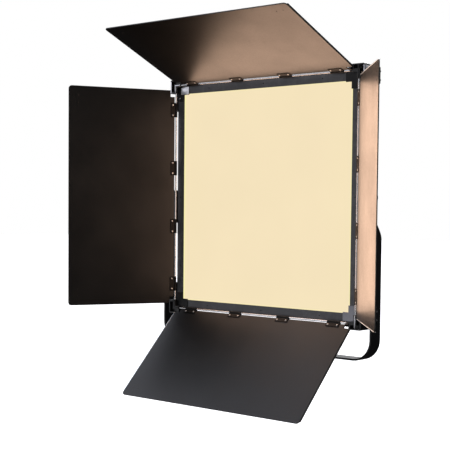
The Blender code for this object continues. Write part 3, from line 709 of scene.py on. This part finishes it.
def pivot_caps():
    """A hexagon socket in the right bolt's cap and a metal insert in the left knob."""
    sunk = -0.2 * MM                # pieces start this far inside what they sit on
    key = hexagon(8 * MM)
    bm = bmesh.new()
    cap = corner("pivot_bolt_right", 1, 0.5, 0.5)
    add_rings(bm, [(9 * MM, sunk), (9 * MM, 0.5 * MM), (8.4 * MM, 0.9 * MM), (key, 0.9 * MM),
                   (key, 0.2 * MM)], facing((1, 0, 0), cap), 48)
    piece("pivot_socket_right", bm, "steel", "head")
    bm = bmesh.new()
    knob = corner("tilt_knob", 0, 0.5, 0.5)
    add_rings(bm, [(12 * MM, sunk), (12 * MM, 0.8 * MM), (11 * MM, 1.4 * MM),
                   (8 * MM, 1.4 * MM), (7.4 * MM, 0.9 * MM)], facing((-1, 0, 0), knob), 40)
    piece("tilt_knob_insert", bm, "steel", "tilt_knob")


def pivot_block_screws():
    """Two screws in the outer face of each pivot block."""
    radius = 4 * MM
    behind_middle = 6 * MM
    heights = (14 * MM, 44 * MM)    # above the block's lower end
    bm = bmesh.new()
    for side, sign in (("right", 1), ("left", -1)):
        low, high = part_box("pivot_block_" + side)
        y = (low.y + high.y) / 2 + behind_middle
        for height in heights:
            screw = (sign * BLOCK_FACE, y, low.z + height)
            add_screw(bm, facing((sign, 0, 0), screw), radius)
    piece("pivot_block_screws", bm, "steel", "head")


# --- the back -----------------------------------------------------------------------------
def back_screws(back, half_x, half_z):
    """Screws round the sheet, nine along the top and bottom and seven along each side."""
    radius, steps = 2.4 * MM, 4
    screws = bmesh.new()
    for i in range(-steps, steps + 1):
        share = i / steps
        for sign in (-1, 1):
            level = Matrix.Translation((share * half_x, sign * half_z, 0))
            add_screw(screws, back @ level, radius)
            if abs(i) < steps:
                upright = Matrix.Translation((sign * half_x, share * half_z, 0))
                add_screw(screws, back @ upright, radius)
    piece("back_screws", screws, "steel", "head")


def back_ribs(back):
    """Four groups of three pressed stiffening ribs."""
    group_x, group_z, spacing = 250 * MM, 62 * MM, 22 * MM
    half_width, half_length, height, sunk = 4 * MM, 50 * MM, 2.2 * MM, 0.3 * MM
    ribs = bmesh.new()
    for x in (-group_x, group_x):
        for z in (-group_z, group_z):
            for step in (-1, 0, 1):
                place = back @ Matrix.Translation((x + step * spacing, z, 0))
                add_box(ribs, (-half_width, -half_length, -sunk),
                        (half_width, half_length, height), place, 2 * MM)
    piece("back_ribs", ribs, "back", "head")


def slot_lining(y):
    """A dark ribbed sheet inside the cooling slots, painted shade for their inside; y is the
    face that the ribs stand on.
    """
    half_x, half_z, thick = 200 * MM, 240 * MM, 0.5 * MM
    rib_x, rib_z = 3 * MM, 230 * MM
    rib_low, rib_top = 0.1 * MM, 0.8 * MM
    lining = bmesh.new()
    add_box(lining, (-half_x, y - thick, CENTRE_Z - half_z), (half_x, y, CENTRE_Z + half_z),
            edge=0.1 * MM)
    for i in range(-2, 3):
        x = i * 80 * MM
        add_box(lining, (x - rib_x, y - rib_low, CENTRE_Z - rib_z),
                (x + rib_x, y + rib_top, CENTRE_Z + rib_z), edge=0.3 * MM)
    piece("slot_lining", lining, "void", "head")


def back_panel_fittings():
    """Screws round the back panel, its ribs and the dark lining inside its slots, which is
    painted shade.
    """
    margin, lining_gap = 9 * MM, 1.6 * MM
    low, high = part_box("back_panel")
    back = facing((0, 1, 0), (0, PANEL_FACE, CENTRE_Z))
    back_screws(back, (high.x - low.x) / 2 - margin, (high.z - low.z) / 2 - margin)
    back_ribs(back)
    slot_lining(low.y - lining_gap)


# --- the control box ----------------------------------------------------------------------
def on_control_box(x, z):
    """A frame on the control box's face, facing back."""
    return facing((0, 1, 0), (x, BOX_FACE, z))


def on_node(node, y):
    """A frame facing back at a node's middle, at a given depth."""
    middle = node_middle(node)
    return facing((0, 1, 0), (middle.x, y, middle.z))


def box_fittings():
    """A screw in each corner of the control box."""
    margin, radius = 8 * MM, 2.6 * MM
    low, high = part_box("control_box")
    half_x, half_z = (high.x - low.x) / 2 - margin, (high.z - low.z) / 2 - margin
    bm = bmesh.new()
    for x in (-half_x, half_x):
        for z in (-half_z, half_z):
            add_screw(bm, on_control_box(-x, CENTRE_Z + z), radius)
    piece("box_screws", bm, "steel", "head")


def add_dial_ticks(ticks, name):
    """Eleven ticks round a dial, every fifth one long, over the dial's 300 degrees."""
    count, first, step = 11, -150, 30
    start, half_width, long, short = 15.5 * MM, 0.35 * MM, 3.2 * MM, 2 * MM
    sunk, proud = 0.05 * MM, 0.12 * MM
    centre = on_node(name, BOX_FACE)
    for i in range(count):
        place = centre @ Matrix.Rotation(math.radians(first + step * i), 4, 'Z')
        length = long if i % 5 == 0 else short
        add_box(ticks, (-half_width, start, -sunk), (half_width, start + length, proud), place)


def dial_pointer(name):
    """A raised line on a dial, with a dot at its outer end."""
    start, end, half_width = 3 * MM, 11 * MM, 0.6 * MM
    sunk, proud = 0.2 * MM, 0.25 * MM
    dot_r, dot_top_r, dot_top = 1.1 * MM, 0.8 * MM, 0.3 * MM
    pointer = bmesh.new()
    top = on_node(name, corner(name, 0, 1, 0).y)
    add_box(pointer, (-half_width, start, -sunk), (half_width, end, proud), top, 0.1 * MM)
    add_rings(pointer, [(dot_r, -sunk), (dot_r, sunk), (dot_top_r, dot_top)],
              top @ Matrix.Translation((0, end, 0)), 16)
    piece(name + "_pointer", pointer, "ink", name)


def dial_marks():
    """The ticks round both dials, as one piece, and a pointer on each dial."""
    ticks = bmesh.new()
    for name in ("dimmer_knob", "colour_knob"):
        add_dial_ticks(ticks, name)
        dial_pointer(name)
    piece("dial_ticks", ticks, "ink", "head")


def display_content():
    """Two rows of level bars on the display's window."""
    first, pitch, width, half_height = -27 * MM, 3.6 * MM, 2.4 * MM, 3 * MM
    low, top = 0.02 * MM, 0.10 * MM     # heights over the window's face
    place = on_node("display_window", corner("display_window", 0, 1, 0).y)
    bm = bmesh.new()
    for row, filled in ((7 * MM, 14), (-7 * MM, 9)):
        for i in range(filled):
            x = first + i * pitch
            add_box(bm, (x, row - half_height, low), (x + width, row + half_height, top), place)
    piece("display_bars", bm, "led_bar", "head")


def inlet_pins():
    """Three flat pins in the mains inlet."""
    half_width, half_height, length, sunk = 1 * MM, 2 * MM, 9 * MM, 0.3 * MM
    floor = corner("power_inlet", 0, 0, 0).y + 3 * MM
    place = on_node("power_inlet", floor)
    blades = bmesh.new()
    for x, z in ((-7 * MM, -2 * MM), (0, 2.5 * MM), (7 * MM, -2 * MM)):
        add_box(blades, (x - half_width, z - half_height, -sunk),
                (x + half_width, z + half_height, length), place, 0.3 * MM)
    piece("inlet_pins", blades, "nickel", "head")


def data_socket(name, material, pin_height):
    """An insert in a data socket, with five round contacts in a ring."""
    insert_r, insert_top_r, insert_top = 8.7 * MM, 8.2 * MM, 3.6 * MM
    ring, count, pin_r, tip_r, tip = 5 * MM, 5, 0.9 * MM, 0.5 * MM, 0.4 * MM
    contact_foot = 3.5 * MM
    insert, pins = bmesh.new(), bmesh.new()
    place = on_node(name, corner(name, 0, 0, 0).y + 2 * MM)
    add_rings(insert, [(insert_r, -0.2 * MM), (insert_r, insert_top - 0.4 * MM),
                       (insert_top_r, insert_top)], place, 32)
    for i in range(count):
        angle = math.radians(90 + 360 / count * i)
        spot = Matrix.Translation((ring * math.cos(angle), ring * math.sin(angle), contact_foot))
        add_rings(pins, [(pin_r, 0), (pin_r, pin_height), (tip_r, pin_height + tip)],
                  place @ spot, 12)
    piece(name + "_insert", insert, "gloss", "head")
    piece(name + "_pins", pins, material, "head")


def socket_pins():
    """The inlet's pins, the pins of one data socket and the holes of the other, which are low
    near-black stubs painted as shade.
    """
    inlet_pins()
    data_socket("data_socket_in", "steel", 5 * MM)
    # painted shade: this socket's contacts are low near-black stubs that stand for its holes
    data_socket("data_socket_out", "void", 0.2 * MM)


# --- studio -------------------------------------------------------------------------------
FLOOR_Z = -1.6                      # the floor lies a stand's height below the light
FLOOR_SIZE = 60


def stage():
    """A plain white floor far below the light; it shows, but lights nothing."""
    bm = bmesh.new()
    bmesh.ops.create_grid(bm, x_segments=1, y_segments=1, size=FLOOR_SIZE)
    bmesh.ops.translate(bm, verts=bm.verts, vec=(0, 0, FLOOR_Z))
    mesh = bpy.data.meshes.new("floor")
    bm.to_mesh(mesh)
    bm.free()
    floor = bpy.data.objects.new("floor", mesh)
    bpy.context.scene.collection.objects.link(floor)
    n = Nodes("floor_white")
    n.set(Base_Color=(0.9, 0.9, 0.9, 1), Roughness=0.8, Emission_Color=(1, 1, 1, 1),
          Emission_Strength=1.0)
    mesh.materials.append(n.material)
    floor.visible_diffuse = False
    floor.visible_glossy = False
    floor.visible_transmission = False


# Where the room is bright: direction, cosine where the glow starts and where it is full,
# and its colour. The camera itself sees plain white.
ROOM = (0.03, 0.03, 0.032)
PANELS = (
    ((-0.65, -0.04, 0.76), 0.55, 0.93, (0.95, 0.98, 1.10)),
    ((-0.65, -0.76, -0.05), 0.80, 0.97, (0.85, 0.85, 0.88)),
    ((-0.65, 0.76, 0.05), 0.90, 0.98, (0.40, 0.40, 0.41)),
    ((0.20, -0.25, 0.95), 0.92, 0.98, (1.60, 1.60, 1.60)),
    ((-0.25, 0.95, 0.20), 0.90, 0.98, (0.50, 0.50, 0.52)),
    ((0.70, -0.70, 0.15), 0.94, 0.985, (1.50, 1.50, 1.50)),
)


def add_panel(tree, place, total, panel):
    """Add one bright panel to the room's colour so far."""
    direction, start, full, colour = panel
    add, link = tree.nodes.new, tree.links.new
    dot = add("ShaderNodeVectorMath")
    dot.operation = 'DOT_PRODUCT'
    dot.inputs[1].default_value = Vector(direction).normalized()
    link(place, dot.inputs[0])
    glow = add("ShaderNodeMapRange")
    glow.interpolation_type = 'SMOOTHSTEP'
    glow.inputs["From Min"].default_value = start
    glow.inputs["From Max"].default_value = full
    link(dot.outputs["Value"], glow.inputs["Value"])
    mix = add("ShaderNodeMix")
    mix.data_type = 'RGBA'
    mix.blend_type = 'ADD'
    link(glow.outputs["Result"], mix.inputs[MIX_FACTOR])
    link(total, mix.inputs[MIX_FIRST])
    mix.inputs[MIX_SECOND].default_value = rgba(colour)
    return mix.outputs[MIX_RESULT]


def world():
    """White for the camera; for everything else a dark room with soft bright panels."""
    made = bpy.data.worlds.new("studio")
    bpy.context.scene.world = made
    made.use_nodes = True
    tree = made.node_tree
    tree.nodes.clear()
    add, link = tree.nodes.new, tree.links.new
    place = add("ShaderNodeTexCoord").outputs["Generated"]
    total = add("ShaderNodeRGB").outputs[0]
    total.default_value = rgba(ROOM)
    for panel in PANELS:
        total = add_panel(tree, place, total, panel)
    room, white = add("ShaderNodeBackground"), add("ShaderNodeBackground")
    link(total, room.inputs["Color"])
    white.inputs["Color"].default_value = (1, 1, 1, 1)
    choose = add("ShaderNodeMixShader")
    link(add("ShaderNodeLightPath").outputs["Is Camera Ray"], choose.inputs[0])
    link(room.outputs[0], choose.inputs[1])
    link(white.outputs[0], choose.inputs[2])
    link(choose.outputs[0], add("ShaderNodeOutputWorld").inputs[0])


def softbox(name, place, target, width, height, power, colour=(1, 1, 1)):
    """A rectangular lamp that shines from one place towards another."""
    data = bpy.data.lights.new(name, 'AREA')
    data.shape = 'RECTANGLE'
    data.size, data.size_y = width, height
    data.energy = power
    data.color = colour
    made = bpy.data.objects.new(name, data)
    made.location = place
    aim = Vector(target) - Vector(place)
    made.rotation_euler = aim.to_track_quat('-Z', 'Y').to_euler()
    made.visible_camera = False
    bpy.context.scene.collection.objects.link(made)
    return made


def lights():
    """The panel's glow, a weak rim light and the light on the back, both from behind."""
    panel_glow()
    middle = (0, 0, CENTRE_Z)
    softbox("softbox_rim", (1.6, 3.0, 2.2), middle, 2.0, 1.6, 8)
    softbox("softbox_back", (-1.0, 3.0, 3.6), middle, 2.2, 1.8, 170)


def panel_glow():
    """The panel's own output: a camera-invisible source just before the glowing face."""
    radiance, warm = 3.25, (1.0, 0.60, 0.43)
    width, height = 2 * APERTURE_X, 2 * APERTURE_Z
    power = radiance * math.pi * width * height
    front = Vector((0, BEZEL_FRONT - 1 * MM, CENTRE_Z))
    glow = softbox("panel_glow", front, front - Vector((0, 1, 0)), width, height, power, warm)
    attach(glow, "head")


# --- camera -------------------------------------------------------------------------------
def camera():
    """The viewing angle of the reference: from the right, nearly level, a long lens."""
    azimuth, elevation, roll = math.radians(40.39), math.radians(2.84), math.radians(0.56)
    distance = 3.093
    left, down = 81 * MM, 181 * MM      # of the middle of the face, where the camera aims
    target = Vector((-left, FACE.y + 0.7 * MM, CENTRE_Z - down))
    back = Vector((math.sin(azimuth) * math.cos(elevation),
                   -math.cos(azimuth) * math.cos(elevation), math.sin(elevation)))
    data = bpy.data.cameras.new("camera")
    data.sensor_width = 36
    data.lens = 88.0
    data.shift_x, data.shift_y = -0.0333, 0.0819
    data.dof.use_dof = False
    made = bpy.data.objects.new("camera", data)
    made.rotation_mode = 'QUATERNION'
    made.location = target + back * distance
    turn = (-back).to_track_quat('-Z', 'Y')
    made.rotation_quaternion = turn @ Matrix.Rotation(roll, 3, 'Z').to_quaternion()
    bpy.context.scene.collection.objects.link(made)
    bpy.context.scene.camera = made


# --- the scene ----------------------------------------------------------------------------
dress_nodes()
for leaf_side in SIDES:
    clip_rivets(leaf_side)
    latches(leaf_side)
edge_beads()
rod_lines()
rod_ends()
bracket_trims()
cover_plate()
bracket_screws()
rail_screws()
spigot_nut()
pivot_caps()
pivot_block_screws()
back_panel_fittings()
box_fittings()
dial_marks()
display_content()
socket_pins()
stage()
world()
lights()
camera()
bpy.context.scene.view_settings.view_transform = 'Standard'
